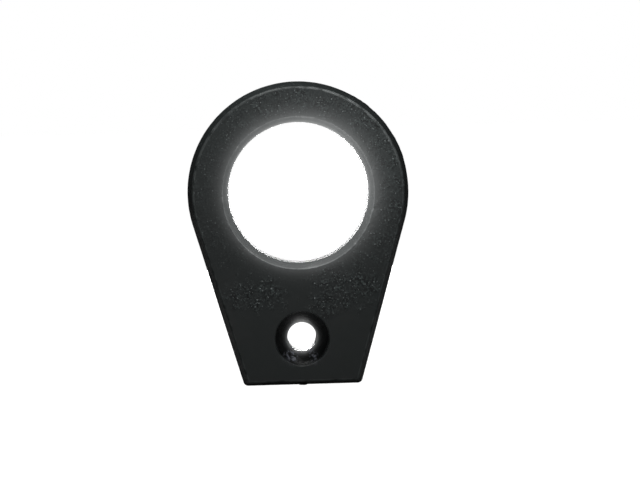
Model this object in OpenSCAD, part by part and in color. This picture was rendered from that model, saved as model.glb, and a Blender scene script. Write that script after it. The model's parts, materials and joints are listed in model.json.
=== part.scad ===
// One-piece moulded fence insulator: a round head with a large eye for the fence line, running
// into a tapered tail that is fixed to the post by one recessed screw.
// Millimetres. +Z is up the tail towards the head, +X is across the plate, and the front face
// with the screw recess looks towards -Y. The origin is the centre of the eye, halfway through
// the plate's thickness.

/* [Plate] */
// Thickness of the plate from its front face to its back face
plate_t = 8; // [7:0.5:12]
// How far the side walls draw in from the mould's parting band to each face
draft_in = 0.8; // [0.4:0.1:0.8]
// Width of the straight band round the middle of the side walls, where the mould parts
band_t = 0.6; // [0.4:0.1:1]

/* [Head] */
// Outside diameter of the round head at the parting band
head_d = 41; // [39:0.5:46]
// Diameter of the eye that the fence line passes through
eye_d = 26; // [20:0.5:28]
// How far the bevel at each end of the eye reaches out from the bore
eye_bevel_w = 1.1; // [0.4:0.1:1.6]
// How far the bevel at each end of the eye reaches into the bore
eye_bevel_t = 1.4; // [0.6:0.1:2]

/* [Tail] */
// Distance from the centre of the eye to the flat end of the tail
tail_drop = 35.9; // [35:0.1:40]
// Width across the flat end of the tail at the parting band, if its corners were sharp
tail_w = 21.8; // [18:0.1:26]
// Radius of the two corners at the flat end of the tail
corner_r = 0.9; // [0.9:0.1:1.4]

/* [Screw hole] */
// Distance from the centre of the eye down to the centre of the screw hole
screw_drop = 27; // [25:0.1:28]
// Diameter of the clearance hole for the fixing screw
screw_d = 5.4; // [4.4:0.1:6]
// Diameter of the recess that takes the head of the screw
recess_d = 10; // [9:0.1:11]
// Depth of the straight part of the recess, above its conical seat
recess_t = 1.7; // [1:0.1:2.5]

/* [Hidden] */
$fn = 96;

// Cutting shapes reach this far past the faces that they cut
past = 1;
half_t = plate_t / 2;
head_r = head_d / 2;
eye_r = eye_d / 2;

// The seat is a right-angled cone, so it is as deep as it is wide
seat_t = (recess_d - screw_d) / 2;

// Each flank is the tangent from a corner of the tail to the head. flank_a is the slope of the
// flank off the vertical, and so the angle of its outward normal below the X axis.
flank_a = atan2(tail_drop, tail_w / 2) - acos(head_r / norm([tail_w / 2, tail_drop]));

// Centre of a corner arc, which touches both the flank and the flat end
corner_y = corner_r - tail_drop;
corner_x = (head_r - corner_r + corner_y * sin(flank_a)) / cos(flank_a);

// A disc with a straight band at mid-thickness and draft from the band to each face
module drafted_disc(r) {
    cylinder(r = r, h = band_t, center = true);
    for (face = [0, 1])
        mirror([0, 0, face])
            translate([0, 0, band_t / 2])
                cylinder(r1 = r, r2 = r - draft_in, h = half_t - band_t / 2);
}

// The plate without its holes: the head and the two corners of the tail, joined by flat walls
module plate() {
    hull() {
        drafted_disc(head_r);
        for (side = [-1, 1])
            translate([side * corner_x, corner_y, 0])
                drafted_disc(corner_r);
    }
}

// The eye, with a bevel at each face
module eye_bore() {
    cylinder(r = eye_r, h = plate_t + 2 * past, center = true);
    reach = eye_bevel_w * (1 + past / eye_bevel_t);
    for (face = [0, 1])
        mirror([0, 0, face])
            translate([0, 0, half_t - eye_bevel_t])
                cylinder(r1 = eye_r, r2 = eye_r + reach, h = eye_bevel_t + past);
}

// The screw hole, its conical seat and the straight recess in front of it
module screw_bore() {
    cylinder(d = screw_d, h = plate_t + 2 * past, center = true);
    translate([0, 0, half_t - recess_t - seat_t])
        cylinder(d1 = screw_d, d2 = recess_d, h = seat_t);
    translate([0, 0, half_t - recess_t])
        cylinder(d = recess_d, h = recess_t + past);
}

// The whole moulding. It is drawn lying on its back and then stood up, front towards -Y.
module insulator_body() {
    color([0.15, 0.16, 0.16])
        rotate([90, 0, 0])
            difference() {
                plate();
                eye_bore();
                translate([0, -screw_drop, 0])
                    screw_bore();
            }
}

insulator_body();
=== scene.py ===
"""Looks of the moulded fence insulator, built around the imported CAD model.

The frame is the CAD's: metres, +Z up the tail towards the head, +X across the plate, and the
front face towards -Y, with the origin at the centre of the eye at mid-thickness. The mesh is
worked out in millimetres and scaled at the end.
"""

import json
import math
import random

import bmesh
import bpy
from mathutils import Matrix, Vector, geometry, noise


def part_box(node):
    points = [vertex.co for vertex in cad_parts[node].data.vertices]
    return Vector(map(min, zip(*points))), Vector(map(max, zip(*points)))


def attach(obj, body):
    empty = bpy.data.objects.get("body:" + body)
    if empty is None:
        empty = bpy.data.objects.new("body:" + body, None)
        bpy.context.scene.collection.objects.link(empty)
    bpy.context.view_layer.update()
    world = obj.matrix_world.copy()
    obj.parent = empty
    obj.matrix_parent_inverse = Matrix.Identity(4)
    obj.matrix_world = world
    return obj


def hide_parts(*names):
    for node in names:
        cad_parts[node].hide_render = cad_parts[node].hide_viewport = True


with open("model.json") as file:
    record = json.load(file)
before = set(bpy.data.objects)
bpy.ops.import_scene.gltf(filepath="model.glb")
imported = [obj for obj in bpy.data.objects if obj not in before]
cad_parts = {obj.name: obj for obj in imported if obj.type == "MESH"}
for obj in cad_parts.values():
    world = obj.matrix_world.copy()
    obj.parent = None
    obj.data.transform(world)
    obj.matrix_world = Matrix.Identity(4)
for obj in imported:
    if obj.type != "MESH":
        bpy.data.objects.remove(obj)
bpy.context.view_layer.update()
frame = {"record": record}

# ---------------------------------------------------------------- sizes, in millimetres
MM = 0.001
NODE = "insulator_body"
low, high = (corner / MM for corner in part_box(NODE))
mounts = {mount["name"]: mount for mount in frame["record"]["mounts"]}
eye, hole, recess = (mounts[name] for name in ("eye", "screw_hole", "screw_recess"))

HALF_T = high.y  # half the plate's thickness
HEAD_R = high.z  # radius of the head, at the parting band
TAIL_DROP = -low.z  # from the eye's centre down to the tail's end
EYE_R = eye["dims"]["r_mm"]
EYE_BEVEL_T = HALF_T - eye["dims"]["length_mm"] / 2
HOLE_R = hole["dims"]["r_mm"]
RECESS_R = recess["dims"]["r_mm"]
RECESS_T = recess["dims"]["length_mm"]
SCREW_Z = hole["pos_m"][2] / MM

# Sizes of part.scad that the frame doesn't state
TAIL_W = 21.8
CORNER_R = 0.9
DRAFT_IN = 0.8
BAND_T = 0.6
EYE_BEVEL_W = 1.1

# The finish that the mould and wear leave
WALL_BACK = 0.02  # the walls lie this far inside the CAD's, which leaves room for the flash
WORN_IN = 0.12  # wear draws the front face's edge in this much further than the CAD's
FLASH_T = 0.1  # half the width of the flash ridge along the parting band
PIN_R, PIN_DEEP = 1.5, 0.12  # witness marks of the ejector pins, on the back face
PIN_PLACES = [(-16.6, 2.0), (16.6, 2.0), (0.0, 16.9), (0.0, -19.6), (-7.2, -31.6), (7.2, -31.6)]

# What lies in front of this belongs to the front face and its edges
FACE_Y = 0.5 - HALF_T

# How the mesh is cut
HEAD_STEPS, FLANK_STEPS, CORNER_STEPS, END_STEPS = 260, 100, 7, 72  # round the outline
EYE_STEPS, SCREW_STEPS, PIN_STEPS = 280, 150, 40  # round each circle
WALL_STEP, SCREW_STEP = 0.35, 0.22  # along the straight parts of a section
OUTER_LAND, HOLE_LAND, PIN_LAND = 0.4, 0.35, 0.1  # how far each wall carries on over the face
FRONT_SPACING, BACK_SPACING = 0.34, 0.5  # of the triangles that fill the two flat faces
ROW_RATIO = 0.866  # rows of even triangles lie this many spacings apart
HALF_COLUMNS = 80  # columns of triangles on each side of the middle, enough to pass the head

# Each flank is tangent to the head, and this is its slope off the vertical
FLANK = math.atan2(TAIL_DROP, TAIL_W / 2) - math.acos(HEAD_R / math.hypot(TAIL_W / 2, TAIL_DROP))
NORMAL = Vector((math.cos(FLANK), -math.sin(FLANK)))  # of the right flank, as (x, z)


# ---------------------------------------------------------------- outlines
def arc(centre, radius, start, end, steps):
    """Points from the angle start up to, but not including, end."""
    turn = (end - start) / steps
    return [
        centre + radius * Vector((math.cos(start + i * turn), math.sin(start + i * turn)))
        for i in range(steps)
    ]


def stretch(start, end, steps):
    """Points of a straight line from start up to, but not including, end."""
    return [start.lerp(end, i / steps) for i in range(steps)]


def plate_outline(inset):
    """The plate's outline drawn in by inset, from the right tangent point anticlockwise."""
    radius = HEAD_R - inset
    corner_r = max(CORNER_R - inset, 0.12)
    corner_z = inset + corner_r - TAIL_DROP
    corner_x = (radius - corner_r + corner_z * math.sin(FLANK)) / math.cos(FLANK)
    right, left = Vector((corner_x, corner_z)), Vector((-corner_x, corner_z))
    mirrored = Vector((-NORMAL.x, NORMAL.y))
    points = arc(Vector((0, 0)), radius, -FLANK, math.pi + FLANK, HEAD_STEPS)
    points += stretch(mirrored * radius, left + mirrored * corner_r, FLANK_STEPS)
    points += arc(left, corner_r, math.pi + FLANK, 1.5 * math.pi, CORNER_STEPS)
    drop = Vector((0, corner_r))
    points += stretch(left - drop, right - drop, END_STEPS)
    points += arc(right, corner_r, -math.pi / 2, -FLANK, CORNER_STEPS)
    points += stretch(right + NORMAL * corner_r, NORMAL * radius, FLANK_STEPS)
    return points


def circle_at(x, z, steps):
    """An outline function for circles round (x, z), which takes the radius."""
    return lambda radius: arc(Vector((x, z)), radius, 0, math.tau, steps)


def from_screw(x, z):
    """Distance of (x, z) from the middle of the screw hole."""
    return math.hypot(x, z - SCREW_Z)


def degrees_round(x, z):
    """Direction of (x, z) in degrees, from +X towards +Z."""
    return math.degrees(math.atan2(z, x))


def inside_by(x, z):
    """How far (x, z) lies inside the plate's outline, taking the tail's corners as sharp."""
    if math.atan2(z, abs(x)) > -FLANK:
        return HEAD_R - math.hypot(x, z)
    flank = HEAD_R - abs(x) * NORMAL.x - z * NORMAL.y
    return min(flank, TAIL_DROP + z)


# ---------------------------------------------------------------- sections
def rounded(corners, step):
    """A section as points (offset, y, edge). corners is [(offset, y, radius)], and each corner
    with a radius becomes an arc, whose points have edge 1. The first and the last corner have
    radius 0. Straight stretches are cut to step."""
    points = []
    for i, (offset, y, radius) in enumerate(corners):
        here = Vector((offset, y))
        if radius == 0:
            points.append((here, 0))
            continue
        before = (Vector(corners[i - 1][:2]) - here).normalized()
        after = (Vector(corners[i + 1][:2]) - here).normalized()
        half = before.angle(after) / 2
        centre = here + (before + after).normalized() * radius / math.sin(half)
        start = here + before * radius / math.tan(half) - centre
        end = here + after * radius / math.tan(half) - centre
        count = max(3, round((math.pi - 2 * half) / math.radians(11)))
        for k in range(count + 1):
            points.append((centre + start.slerp(end, k / count).normalized() * radius, i))
    section = []
    for (a, bend_a), (b, bend_b) in zip(points, points[1:]):
        cuts = 1 if bend_a and bend_a == bend_b else max(1, round((b - a).length / step))
        section += [(*a.lerp(b, k / cuts), float(k == 0 and bend_a > 0)) for k in range(cuts)]
    return section + [(*points[-1][0], float(points[-1][1] > 0))]


# ---------------------------------------------------------------- the moulding's mesh
mesh_points, mesh_faces, edge_marks = [], [], []


def add_ring(outline, offset, y, edge):
    """Adds the ring's points, and returns their numbers."""
    first = len(mesh_points)
    for place in outline(offset):
        mesh_points.append(Vector((place.x, y, place.y)))
        edge_marks.append(edge)
    return list(range(first, len(mesh_points)))


def sweep(outline, section):
    """Adds the wall that has this section, and returns its first and last rings."""
    rings = [add_ring(outline, *row) for row in section]
    for a, b in zip(rings, rings[1:]):
        for i in range(len(a)):
            k = (i + 1) % len(a)
            mesh_faces.append((a[i], a[k], b[k], b[i]))
    return rings[0], rings[-1]


def fill_face(y, outer, holes, spacing):
    """Fills the flat face at y between its outer ring and its holes with even triangles.
    holes is [(ring, centre x, centre z, radius)]."""
    ids = list(outer)
    loops = [outer] + [ring for ring, *_ in holes]
    for ring, *_ in holes:
        ids += ring
    flat = [Vector((mesh_points[i].x, mesh_points[i].z)) for i in ids]
    edges, start = [], 0
    for loop in loops:
        count = len(loop)
        edges += [(start + k, start + (k + 1) % count) for k in range(count)]
        start += count
    rim = DRAFT_IN + WORN_IN + 0.45
    rows = math.ceil((HEAD_R + TAIL_DROP) / (spacing * ROW_RATIO))
    for row in range(rows):
        z = HEAD_R - row * spacing * ROW_RATIO
        for column in range(-HALF_COLUMNS, HALF_COLUMNS + 1):
            x = (column + 0.5 * (row % 2)) * spacing
            clear = all(math.hypot(x - cx, z - cz) > r + 0.6 * spacing for _, cx, cz, r in holes)
            if clear and inside_by(x, z) > rim + 0.5 * spacing:
                flat.append(Vector((x, z)))
    found, _, triangles, origins, _, _ = geometry.delaunay_2d_cdt(flat, edges, [], 0, 1e-7)
    numbers = []
    for place, origin in zip(found, origins):
        if origin and origin[0] < len(ids):
            numbers.append(ids[origin[0]])
        else:
            numbers.append(len(mesh_points))
            mesh_points.append(Vector((place.x, y, place.y)))
            edge_marks.append(0)

    # Triangles inside a hole are left out, and so are slivers along a ring, which have no area
    for triangle in triangles:
        a, b, c = (found[i] for i in triangle)
        centre = (a + b + c) / 3
        area = abs((b - a).cross(c - a)) / 2
        reach = max((b - a).length, (c - b).length, (a - c).length)
        in_hole = any(math.hypot(centre.x - cx, centre.y - cz) < r for _, cx, cz, r in holes)
        if area > 0.0005 * reach * reach and not in_hole:
            mesh_faces.append(tuple(numbers[i] for i in triangle))


def close_disc(ring):
    """Closes a ring round its middle point."""
    middle = len(mesh_points)
    mesh_points.append(sum((mesh_points[i] for i in ring), Vector()) / len(ring))
    edge_marks.append(0)
    for i in range(len(ring)):
        mesh_faces.append((ring[i], ring[(i + 1) % len(ring)], middle))


def outer_wall():
    """The head, the flanks and the tail's end, with rows of points for the ridge of flash."""
    face_in, band_in = DRAFT_IN + WALL_BACK, WALL_BACK
    front = [
        (face_in + WORN_IN + OUTER_LAND, -HALF_T, 0),
        (face_in + WORN_IN, -HALF_T, 0.38),
        (band_in, -BAND_T / 2, 0.2),
    ]
    ridge = [(band_in, side * FLASH_T, 0) for side in (-1, -0.5, 0, 0.5, 1)]
    back = [
        (band_in, BAND_T / 2, 0.2),
        (face_in, HALF_T, 0.28),
        (face_in + OUTER_LAND, HALF_T, 0),
    ]
    return sweep(plate_outline, rounded(front + ridge + back, WALL_STEP))


def eye_wall():
    """The eye's bore, with the same bevel at both faces."""
    front = [
        (EYE_R + EYE_BEVEL_W + HOLE_LAND, -HALF_T, 0),
        (EYE_R + EYE_BEVEL_W, -HALF_T, 0.16),
        (EYE_R, EYE_BEVEL_T - HALF_T, 0.9),
    ]
    back = [(offset, -y, radius) for offset, y, radius in reversed(front)]
    return sweep(circle_at(0, 0, EYE_STEPS), rounded(front + back, WALL_STEP))


def screw_wall():
    """The recess, its conical seat and the screw hole."""
    seat_top = RECESS_T - HALF_T
    section = [
        (RECESS_R + HOLE_LAND, -HALF_T, 0),
        (RECESS_R, -HALF_T, 0.18),
        (RECESS_R, seat_top, 0.3),
        (HOLE_R, seat_top + RECESS_R - HOLE_R, 0.3),
        (HOLE_R, HALF_T, 0.15),
        (HOLE_R + HOLE_LAND, HALF_T, 0),
    ]
    return sweep(circle_at(0, SCREW_Z, SCREW_STEPS), rounded(section, SCREW_STEP))


def pin_mark(x, z):
    """The shallow round mark of an ejector pin, in the back face. Returns its outer ring."""
    floor = HALF_T - PIN_DEEP
    section = [
        (PIN_R + PIN_LAND, HALF_T, 0),
        (PIN_R, HALF_T, 0.05),
        (PIN_R - 0.05, floor, 0.05),
        (0.3, floor, 0),
    ]
    first, last = sweep(circle_at(x, z, PIN_STEPS), rounded(section, 0.3))
    close_disc(last)
    return first


def build_points():
    """Fills the mesh's lists with the whole moulding, before its relief."""
    outer_front, outer_back = outer_wall()
    eye_front, eye_back = eye_wall()
    screw_front, screw_back = screw_wall()
    eye_rim = EYE_R + EYE_BEVEL_W + HOLE_LAND
    front_holes = [
        (eye_front, 0, 0, eye_rim),
        (screw_front, 0, SCREW_Z, RECESS_R + HOLE_LAND),
    ]
    fill_face(-HALF_T, outer_front, front_holes, FRONT_SPACING)
    back_holes = [
        (eye_back, 0, 0, eye_rim),
        (screw_back, 0, SCREW_Z, HOLE_R + HOLE_LAND),
    ]
    back_holes += [(pin_mark(x, z), x, z, PIN_R + PIN_LAND) for x, z in PIN_PLACES]
    fill_face(HALF_T, outer_back, back_holes, BACK_SPACING)


# ---------------------------------------------------------------- relief
def smooth(value, start, end):
    """0 at start, 1 at end, and an even curve between them."""
    t = min(max((value - start) / (end - start), 0), 1)
    return t * t * (3 - 2 * t)


def flash_height(x, z):
    """Height of the flash along the parting band. It is ragged on the head's upper right."""
    angle = degrees_round(x, z)
    ragged = smooth(angle, 8, 22) * (1 - smooth(angle, 52, 66))
    wave = 0.5 + 0.5 * noise.noise(Vector((x, z, 3.1)) * 0.9)
    fine = 0.5 + 0.5 * noise.noise(Vector((x, z, 8.4)) * 2.3)
    return 0.04 + 0.03 * fine + ragged * (0.05 + 0.16 * wave * fine)


def gate_height(x, y):
    """Height of the nub left by the gate, in the middle of the tail's end."""
    return 0.14 * (1 - smooth(math.hypot(x / 0.7, y / 0.45), 0.7, 1.1))


def nicks():
    """Small dents along the plate's front edge and the eye's rim: (place, radius, depth)."""
    draw = random.Random(41)
    edge = plate_outline(DRAFT_IN)
    rim = circle_at(0, 0, 360)(EYE_R + EYE_BEVEL_W)
    found = []
    for outline, count in ((edge, 26), (rim, 16)):
        for _ in range(count):
            place = draw.choice(outline)
            size = draw.uniform(0.25, 0.6)
            found.append((Vector((place.x, -HALF_T, place.y)), size, draw.uniform(0.04, 0.1)))
    return found


NICKS = nicks()


def scuffed(x, z):
    """How scuffed the recess is at this place: the screwdriver's marks, low on both sides."""
    radius = from_screw(x, z)
    if radius > RECESS_R + 0.4:
        return 0
    angle = degrees_round(x, z - SCREW_Z) % 360
    left = smooth(angle, 214, 228) * (1 - smooth(angle, 248, 262))
    right = smooth(angle, 286, 295) * (1 - smooth(angle, 304, 316))
    return max(left, 0.8 * right) * (1 - 0.9 * smooth(radius, 4.3, 5.0))


def relief(place):
    """How far the surface stands out from the plain shape here."""
    x, y, z = place
    height = 0.012 * noise.noise(place * 0.22) + 0.006 * noise.noise(place * 0.7)
    if abs(y) < FLASH_T and inside_by(x, z) < 0.2:
        height += flash_height(x, z) * (1 - abs(y) / FLASH_T)
    if z < low.z + 0.2 and abs(x) < 1:
        height += gate_height(x, y)
    if y < FACE_Y:
        for centre, size, depth in NICKS:
            near = (place - centre).length_squared / (size * size)
            if near < 4:
                height -= depth * math.exp(-near * 2)
    amount = scuffed(x, z)
    if amount and y > 0.2 - HALF_T:
        across = math.atan2(z - SCREW_Z, x) * 9
        height += amount * 0.07 * noise.noise(Vector((across, y * 0.8, 5.0)))
    return height


def moulded_body():
    """The whole moulding as one closed mesh, with its relief and the marks for its material."""
    build_points()
    mesh = bpy.data.meshes.new("moulded_body")
    mesh.from_pydata(mesh_points, [], mesh_faces)
    body = add_object("moulded_body", mesh)
    mesh.update()
    turn_faces_outward(mesh)
    normals = [vertex.normal.copy() for vertex in mesh.vertices]
    for vertex, out in zip(mesh.vertices, normals):
        vertex.co = vertex.co + out * relief(vertex.co)
    mesh.shade_smooth()
    write_marks(mesh)
    mesh.transform(Matrix.Scale(MM, 4))
    mesh.update()
    return body


def turn_faces_outward(mesh):
    """Gives every face of the closed mesh a normal that points out of the plastic."""
    shape = bmesh.new()
    shape.from_mesh(mesh)
    bmesh.ops.recalc_face_normals(shape, faces=shape.faces)
    shape.to_mesh(mesh)
    shape.free()
    mesh.update()


# Patches of coarse skin below the eye: middle x, middle z, half width and half height
SPECK_PATCHES = [(-8.5, -18.6, 6.5, 3.4), (8.4, -17.2, 7.5, 4.6), (4.5, -21.5, 3.5, 2.0)]


def grain_at(x, y, z):
    """How coarse the skin is, which also sets how much painted shade and painted glint its grain
    gets:
    coarse on the head and in patches below the eye, and nearly smooth low down and in the recess."""
    if from_screw(x, z) < RECESS_R + 0.1:
        return 0.1
    if y > FACE_Y:
        return 0.3
    patch = 0.5 + 0.5 * noise.noise(Vector((x, z, 1.7)) * 0.3)
    across = 0.4 + 0.6 * smooth(x + 0.4 * z, -14, 8)
    head = smooth(z, -18, -8) * across * (0.6 + 0.5 * patch)
    ragged = 0.5 * noise.noise(Vector((x, z, 6.2)) * 0.8)
    below_eye = 0
    for middle_x, middle_z, wide, tall in SPECK_PATCHES:
        away = math.hypot((x - middle_x) / wide, (z - middle_z) / tall)
        below_eye = max(below_eye, 1 - smooth(away + ragged, 0.55, 1.15))
    return max(head, below_eye)


def pale_up_right_at(x, y, z):
    """How much paler the face is tinted: most on the head's upper right. The walls get less."""
    face = 1 - 0.7 * smooth(y, -HALF_T, FACE_Y)
    return face * smooth(z, -10, 8) * (0.4 + 0.6 * smooth(x, -12, 16))


def rubbed_and_glare_at(x, y, z):
    """How pale the lips of the eye and of the screw hole are: rubbing, and painted glare, a glow
    of light painted pale on the plastic. The eye's is widest on its upper right, and both fade
    inside and on the back."""
    from_eye = max(math.hypot(x, z) - EYE_R - 1.2, 0)
    toward = math.cos(math.atan2(z, x) - math.radians(45))
    width = 1.3 + 0.4 * toward
    from_hole = max(from_screw(x, z) - HOLE_R, 0)
    eye_depth = 1 - smooth(y, -1.8, 0.6)
    lower = (1 - z / math.hypot(x, z)) / 2
    lower_bevel = smooth(from_eye, 0.3, 0) * lower
    lower_bore = smooth(math.hypot(x, z), EYE_R + 0.6, EYE_R) * lower
    return max(
        math.exp(-from_eye / width)
        * (0.25 + 0.75 * eye_depth)
        * (1 - 0.55 * lower_bevel)
        * (1 - 0.5 * lower_bore)
        * (0.88 + 0.12 * toward),
        math.exp(-((from_hole / 0.6) ** 2)) * (1 - smooth(y, 0.1, 0.5)),
    )


def lip_glare_at(x, y, z):
    """How pale the sharpest turn of each lip is, for the same two reasons: rubbing, and painted
    glare, brightest on the eye's upper lip.
    """
    from_eye = max(math.hypot(x, z) - EYE_R, 0)
    from_hole = max(from_screw(x, z) - HOLE_R, 0)
    upper = 0.2 + 0.8 * smooth(z, -6, 3)
    eye_lip = upper * math.exp(-from_eye / 0.2) * (1 - smooth(y, -1.9, -0.9))
    hole_lip = math.exp(-((from_hole / 0.28) ** 2)) * (1 - smooth(y, 0.1, 0.4))
    return max(eye_lip, hole_lip)


def edge_wear_and_highlight_at(x, y, z):
    """How pale a sharp edge is painted: wear, and a painted highlight line, most on the face's
    edge at the head's upper right, and more on the eye's lower rim than on its upper rim.
    """
    if y > FACE_Y:
        return 0.12
    if math.hypot(x, z) < EYE_R + 2:
        return 0.5 - 0.2 * smooth(z, -8, 2)
    if from_screw(x, z) < RECESS_R + 0.5:
        return 0.05
    angle = degrees_round(x, z)
    upper_right = smooth(angle, 5, 40) * (1 - smooth(angle, 58, 98))
    return 0.25 + smooth(z, -14, 4) * (0.15 + 0.6 * upper_right)


def painted_shade_at(x, y, z):
    """How much painted shade darkens the surface, which is also glossier there: in the recess, and
    on the head's upper right wall.
    """
    if from_screw(x, z) < RECESS_R + 0.1:
        return smooth(y, -HALF_T, 0.4 - HALF_T) * (y < 0.5)
    angle = degrees_round(x, z)
    upper_right = smooth(angle, -5, 15) * (1 - smooth(angle, 60, 110))
    return 0.3 * upper_right * smooth(y, 0.15 - HALF_T, 0.6 - HALF_T)


def write_marks(mesh):
    """Stores what the material needs at each point, from 0 to 1."""
    marks = ("edge", "rubbed", "lip", "scuff", "grain", "dust", "sheltered")
    values = {name: [] for name in marks}
    for vertex, mark in zip(mesh.vertices, edge_marks):
        x, y, z = vertex.co
        front = y < 0.5
        values["edge"].append(mark * edge_wear_and_highlight_at(x, y, z))
        values["rubbed"].append(rubbed_and_glare_at(x, y, z))
        values["lip"].append(lip_glare_at(x, y, z))
        values["scuff"].append(scuffed(x, z) if front else 0)
        values["grain"].append(grain_at(x, y, z))
        values["dust"].append(pale_up_right_at(x, y, z))
        values["sheltered"].append(painted_shade_at(x, y, z))
    for name, amounts in values.items():
        mesh.attributes.new(name, "FLOAT", "POINT").data.foreach_set("value", amounts)


# ---------------------------------------------------------------- materials
class Nodes:
    """Short calls for a material's nodes. place is the object's own coordinates, in metres."""

    def __init__(self, material):
        self.tree = material.node_tree
        self.place = self.add("ShaderNodeTexCoord").outputs["Object"]

    def add(self, kind, **settings):
        node = self.tree.nodes.new(kind)
        for name, value in settings.items():
            setattr(node, name, value)
        return node

    def feed(self, node, inputs):
        """Links each input that is given a socket, and sets each that is given a value."""
        for name, value in inputs.items():
            socket = node.inputs[name]
            if isinstance(value, bpy.types.NodeSocket):
                self.tree.links.new(value, socket)
            else:
                socket.default_value = value
        return node

    def mark(self, name):
        """One of the amounts that write_marks stores on the mesh."""
        return self.add("ShaderNodeAttribute", attribute_name=name).outputs["Fac"]

    def noise(self, scale, detail=2.0, rough=0.5):
        node = self.add("ShaderNodeTexNoise")
        self.feed(node, {"Vector": self.place, "Scale": scale, "Detail": detail})
        self.feed(node, {"Roughness": rough})
        return node.outputs["Fac"]

    def ramp(self, value, start, end, low_out=0.0, high_out=1.0):
        """low_out where value is at start, high_out at end, and an even curve between them."""
        node = self.add("ShaderNodeMapRange", interpolation_type="SMOOTHSTEP")
        self.feed(node, {"Value": value, "From Min": start, "From Max": end})
        self.feed(node, {"To Min": low_out, "To Max": high_out})
        return node.outputs["Result"]

    def math(self, operation, a, b):
        node = self.add("ShaderNodeMath", operation=operation)
        self.feed(node, {0: a, 1: b})
        return node.outputs[0]

    def mix(self, factor, a, b):
        node = self.add("ShaderNodeMix", data_type="RGBA")
        self.feed(node, {0: factor, 6: a, 7: b})
        return node.outputs[2]

    def tint(self, colour, amount, strength, toward):
        """The colour turned toward another by amount times strength."""
        return self.mix(self.math("MULTIPLY", amount, strength), colour, toward)

    def bump(self, height, distance, strength=1.0, normal=None):
        node = self.add("ShaderNodeBump")
        self.feed(node, {"Height": height, "Distance": distance, "Strength": strength})
        if normal is not None:
            self.feed(node, {"Normal": normal})
        return node.outputs["Normal"]


def new_material(name):
    material = bpy.data.materials.new(name)
    material.use_nodes = True
    return material


# Colours of the plastic, each as red, green, blue and alpha
DEEP_BLACK = (0.0135, 0.0187, 0.0184, 1)
SOFT_BLACK = (0.019, 0.0263, 0.0258, 1)
PALE_TINT = (0.3, 0.35, 0.35, 1)
# Painted shade in the grain's hollows
GRAIN_HOLLOW_SHADE = (0.004, 0.0055, 0.0055, 1)
# Painted glints: the grain's pale tops and its pale specks
GRAIN_TOP_GLINT = (0.11, 0.136, 0.134, 1)
SPECK_GLINT = (0.36, 0.4, 0.4, 1)
# Painted shade, for the recess and the head's upper right wall
PAINTED_SHADE = (0.003, 0.004, 0.004, 1)
# Pale tint of worn edges, which also paints a highlight line along them
WORN_EDGE_AND_HIGHLIGHT = (0.24, 0.26, 0.26, 1)
# Pale tint of the holes' lips: rubbing, and painted glare
RUBBED_AND_GLARE = (0.27, 0.28, 0.28, 1)
# Palest tint of the lips' sharpest turn: rubbing, and painted glare
LIP_GLARE = (0.65, 0.66, 0.66, 1)
# Bluish pale painted glints on the recess's scuffs
SCRATCH_GLINT = (0.36, 0.38, 0.44, 1)


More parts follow.
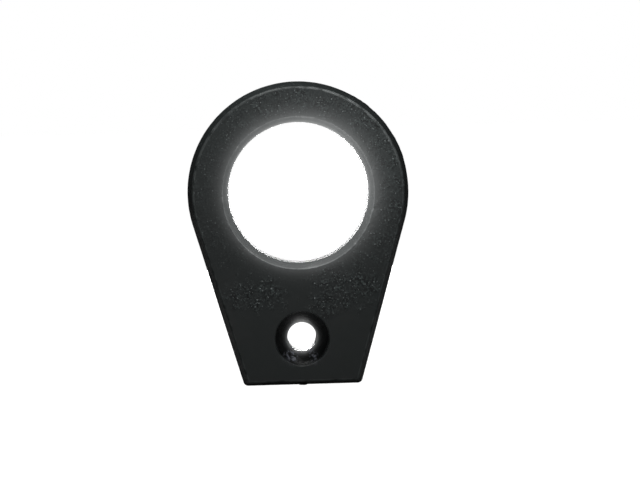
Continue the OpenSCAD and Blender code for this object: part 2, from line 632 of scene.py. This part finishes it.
def black_plastic():
    """Black moulded plastic: spark-eroded grain with painted shade in its hollows and painted
    glints on its tops and specks, faint flow marks, worn edges with a painted highlight line,
    painted shade in the recess, and painted glare round both holes.
    """
    material = new_material("black_plastic")
    n = Nodes(material)
    shader = material.node_tree.nodes["Principled BSDF"]
    flow = n.noise(90, 3.0, 0.6)
    clumps = n.ramp(n.noise(520, 2.0, 0.6), 0.4, 0.62, 0.3, 1.25)
    coarse = n.math("MULTIPLY", n.mark("grain"), clumps)
    grain = n.noise(3100, 2.0, 0.65)
    fine = n.noise(7000, 1.0)
    colour = n.mix(n.ramp(flow, 0.3, 0.7), DEEP_BLACK, SOFT_BLACK)
    # The face is tinted paler towards the head's top and right
    colour = n.tint(colour, n.mark("dust"), 0.085, PALE_TINT)

    # The grain is painted darker in its hollows, as painted shade, and paler on its tops, as
    # painted glints
    painted_hollow_shade = n.math("MULTIPLY", coarse, n.ramp(grain, 0.53, 0.4))
    colour = n.tint(colour, painted_hollow_shade, 0.9, GRAIN_HOLLOW_SHADE)
    # The pale tops of the grain are painted glints
    top = n.math("MULTIPLY", coarse, n.ramp(grain, 0.48, 0.63))
    colour = n.tint(colour, top, 0.6, GRAIN_TOP_GLINT)
    # The pale specks on the grain are painted glints
    painted_speck_glint = n.math("MULTIPLY", coarse, n.ramp(n.noise(3000, 0.0), 0.7, 0.77))
    colour = n.mix(painted_speck_glint, colour, SPECK_GLINT)

    # Painted shade darkens the recess and the head's upper right wall, and wear comes on top of it
    sheltered = n.mark("sheltered")
    colour = n.tint(colour, sheltered, 0.9, PAINTED_SHADE)
    # Worn edges, with a painted highlight line, strongest along the face's edge at the head's
    # upper right
    edge = n.math("MULTIPLY", n.mark("edge"), n.ramp(n.noise(700, 2.0), 0.3, 0.6))
    colour = n.tint(colour, edge, 0.9, WORN_EDGE_AND_HIGHLIGHT)
    # The holes' lips are painted pale: rubbing, and painted glare round both holes
    rubbed = n.math("MULTIPLY", n.mark("rubbed"), n.ramp(flow, 0.25, 0.75, 0.85, 1.0))
    colour = n.tint(colour, rubbed, 0.9, RUBBED_AND_GLARE)
    # The sharpest turn of each lip gets the palest painted glare, as well as rubbing
    colour = n.tint(colour, n.mark("lip"), 0.95, LIP_GLARE)
    # The screwdriver's scuffs low in the recess, tinted bluish pale as painted glints
    scratch_glint = n.math("MULTIPLY", n.mark("scuff"), n.ramp(n.noise(1500, 3.0, 0.7), 0.46, 0.62))
    colour = n.tint(colour, scratch_glint, 0.85, SCRATCH_GLINT)

    roughness = n.ramp(flow, 0.25, 0.75, 0.42, 0.52)
    roughness = n.math("SUBTRACT", roughness, n.math("MULTIPLY", edge, 0.12))
    roughness = n.math("SUBTRACT", roughness, n.math("MULTIPLY", sheltered, 0.2))
    skin = n.bump(n.math("MULTIPLY", coarse, grain), 0.0001, 0.8)
    normal = n.bump(fine, 0.00001, 0.6, skin)
    n.feed(shader, {"Base Color": colour, "Roughness": roughness, "Normal": normal})
    n.feed(shader, {"Specular IOR Level": 0.5})
    return material


def floor_material():
    """Pale paper. The camera sees it white, and to the insulator it only reflects the lights."""
    material = new_material("pale_floor")
    n = Nodes(material)
    seen = n.add("ShaderNodeLightPath").outputs["Is Camera Ray"]
    shader = material.node_tree.nodes["Principled BSDF"]
    n.feed(shader, {"Base Color": (0.2, 0.2, 0.2, 1), "Roughness": 0.9})
    n.feed(shader, {"Emission Color": (1, 1, 1, 1), "Emission Strength": seen})
    return material


# ---------------------------------------------------------------- camera, light and floor
CAMERA_AWAY = 0.45  # metres from the point that it looks at
CAMERA_LENS = 136.2  # millimetres
CAMERA_AZIMUTH, CAMERA_ELEVATION, CAMERA_ROLL = (math.radians(a) for a in (-1.54, 3.55, -1.47))
# The point that the camera looks at lies this far right of and above the eye, as it sees them
AIM_RIGHT, AIM_UP = 0.00384, -0.00902


# Each soft light: its name, place, side and power
SOFTBOXES = [
    ("front", (0, -0.249, -0.026), 0.08, 0.05),
    ("key", (0.01, -0.09, 0.065), 0.03, 0.0185),
    ("corner", (0.03, -0.045, 0.095), 0.03, 0.017),
    ("top", (-0.05, -0.03, 0.244), 0.08, 0.2),
    ("rear", (0, 0.3, -0.02), 0.08, 0.5),
]
LIT_POINT = Vector((0, 0, -0.005))  # the soft lights face this point

FLOOR_REACH = 3.0  # half the floor's width
FLOOR_GAP = 0.2  # millimetres between the tail's end and the floor


def add_object(name, data):
    """Puts a new object that shows this mesh, light or camera in the scene."""
    thing = bpy.data.objects.new(name, data)
    bpy.context.scene.collection.objects.link(thing)
    return thing


def add_camera():
    flat = math.cos(CAMERA_ELEVATION)
    back = Vector(
        (
            math.sin(CAMERA_AZIMUTH) * flat,
            -math.cos(CAMERA_AZIMUTH) * flat,
            math.sin(CAMERA_ELEVATION),
        )
    )
    right = Vector((0, 0, 1)).cross(back).normalized()
    up = back.cross(right)
    aim = right * AIM_RIGHT + up * AIM_UP
    turn = Matrix.Rotation(CAMERA_ROLL, 3, back)
    axes = Matrix((turn @ right, turn @ up, back)).transposed().to_4x4()
    camera = add_object("camera", bpy.data.cameras.new("camera"))
    camera.data.lens = CAMERA_LENS
    camera.data.clip_start = 0.01
    camera.matrix_world = Matrix.Translation(aim + back * CAMERA_AWAY) @ axes
    bpy.context.scene.camera = camera


def add_light(name, kind, place, power):
    """A light that the camera doesn't see."""
    light = bpy.data.lights.new(name, kind)
    light.energy = power
    lamp = add_object(name, light)
    lamp.location = place
    lamp.visible_camera = False
    return lamp


def add_softbox(name, place, side, power):
    """A square soft light that faces the insulator."""
    lamp = add_light(name, "AREA", place, power)
    lamp.data.shape = "RECTANGLE"
    lamp.data.size = lamp.data.size_y = side
    lamp.rotation_euler = (LIT_POINT - Vector(place)).to_track_quat("-Z", "Y").to_euler()


def add_lamp(name, place, radius, power):
    """A small lamp in a hole or just in front of it. It stands in for glare on the hole's lip."""
    lamp = add_light(name, "POINT", place, power)
    lamp.data.shadow_soft_size = radius


def add_world():
    """White where the camera sees it, and a dim grey for what it lights."""
    world = bpy.data.worlds.new("white_surround")
    world.use_nodes = True
    tree = world.node_tree
    background = tree.nodes["Background"]
    seen = tree.nodes.new("ShaderNodeLightPath").outputs["Is Camera Ray"]
    strength = tree.nodes.new("ShaderNodeMapRange")
    tree.links.new(seen, strength.inputs["Value"])
    strength.inputs["To Min"].default_value = 0.03
    strength.inputs["To Max"].default_value = 1.0
    tree.links.new(strength.outputs["Result"], background.inputs["Strength"])
    background.inputs["Color"].default_value = (1, 1, 1, 1)
    bpy.context.scene.world = world


def add_floor():
    """The pale floor. It is part of the stage and not of the object."""
    mesh = bpy.data.meshes.new("floor")
    signs = [(-1, -1), (1, -1), (1, 1), (-1, 1)]
    corners = [(FLOOR_REACH * i, FLOOR_REACH * k, 0) for i, k in signs]
    mesh.from_pydata(corners, [], [(0, 1, 2, 3)])
    floor = add_object("floor", mesh)
    floor.location.z = (low.z - FLOOR_GAP) * MM
    floor.data.materials.append(floor_material())


def light_scene():
    bpy.context.scene.view_settings.view_transform = "Standard"
    add_world()
    add_floor()
    for name, place, side, power in SOFTBOXES:
        add_softbox(name, place, side, power)
    add_lamp("eye_lamp", (0.0015, -0.0075, 0.0025), 0.003, 0.0034)
    add_lamp("hole_lamp", (0, 0, (SCREW_Z + 0.8) * MM), 0.0006, 0.00003)


# ---------------------------------------------------------------- the scene
add_camera()
light_scene()
insulator = moulded_body()
insulator.data.materials.append(black_plastic())
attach(insulator, "root")
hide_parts(NODE)
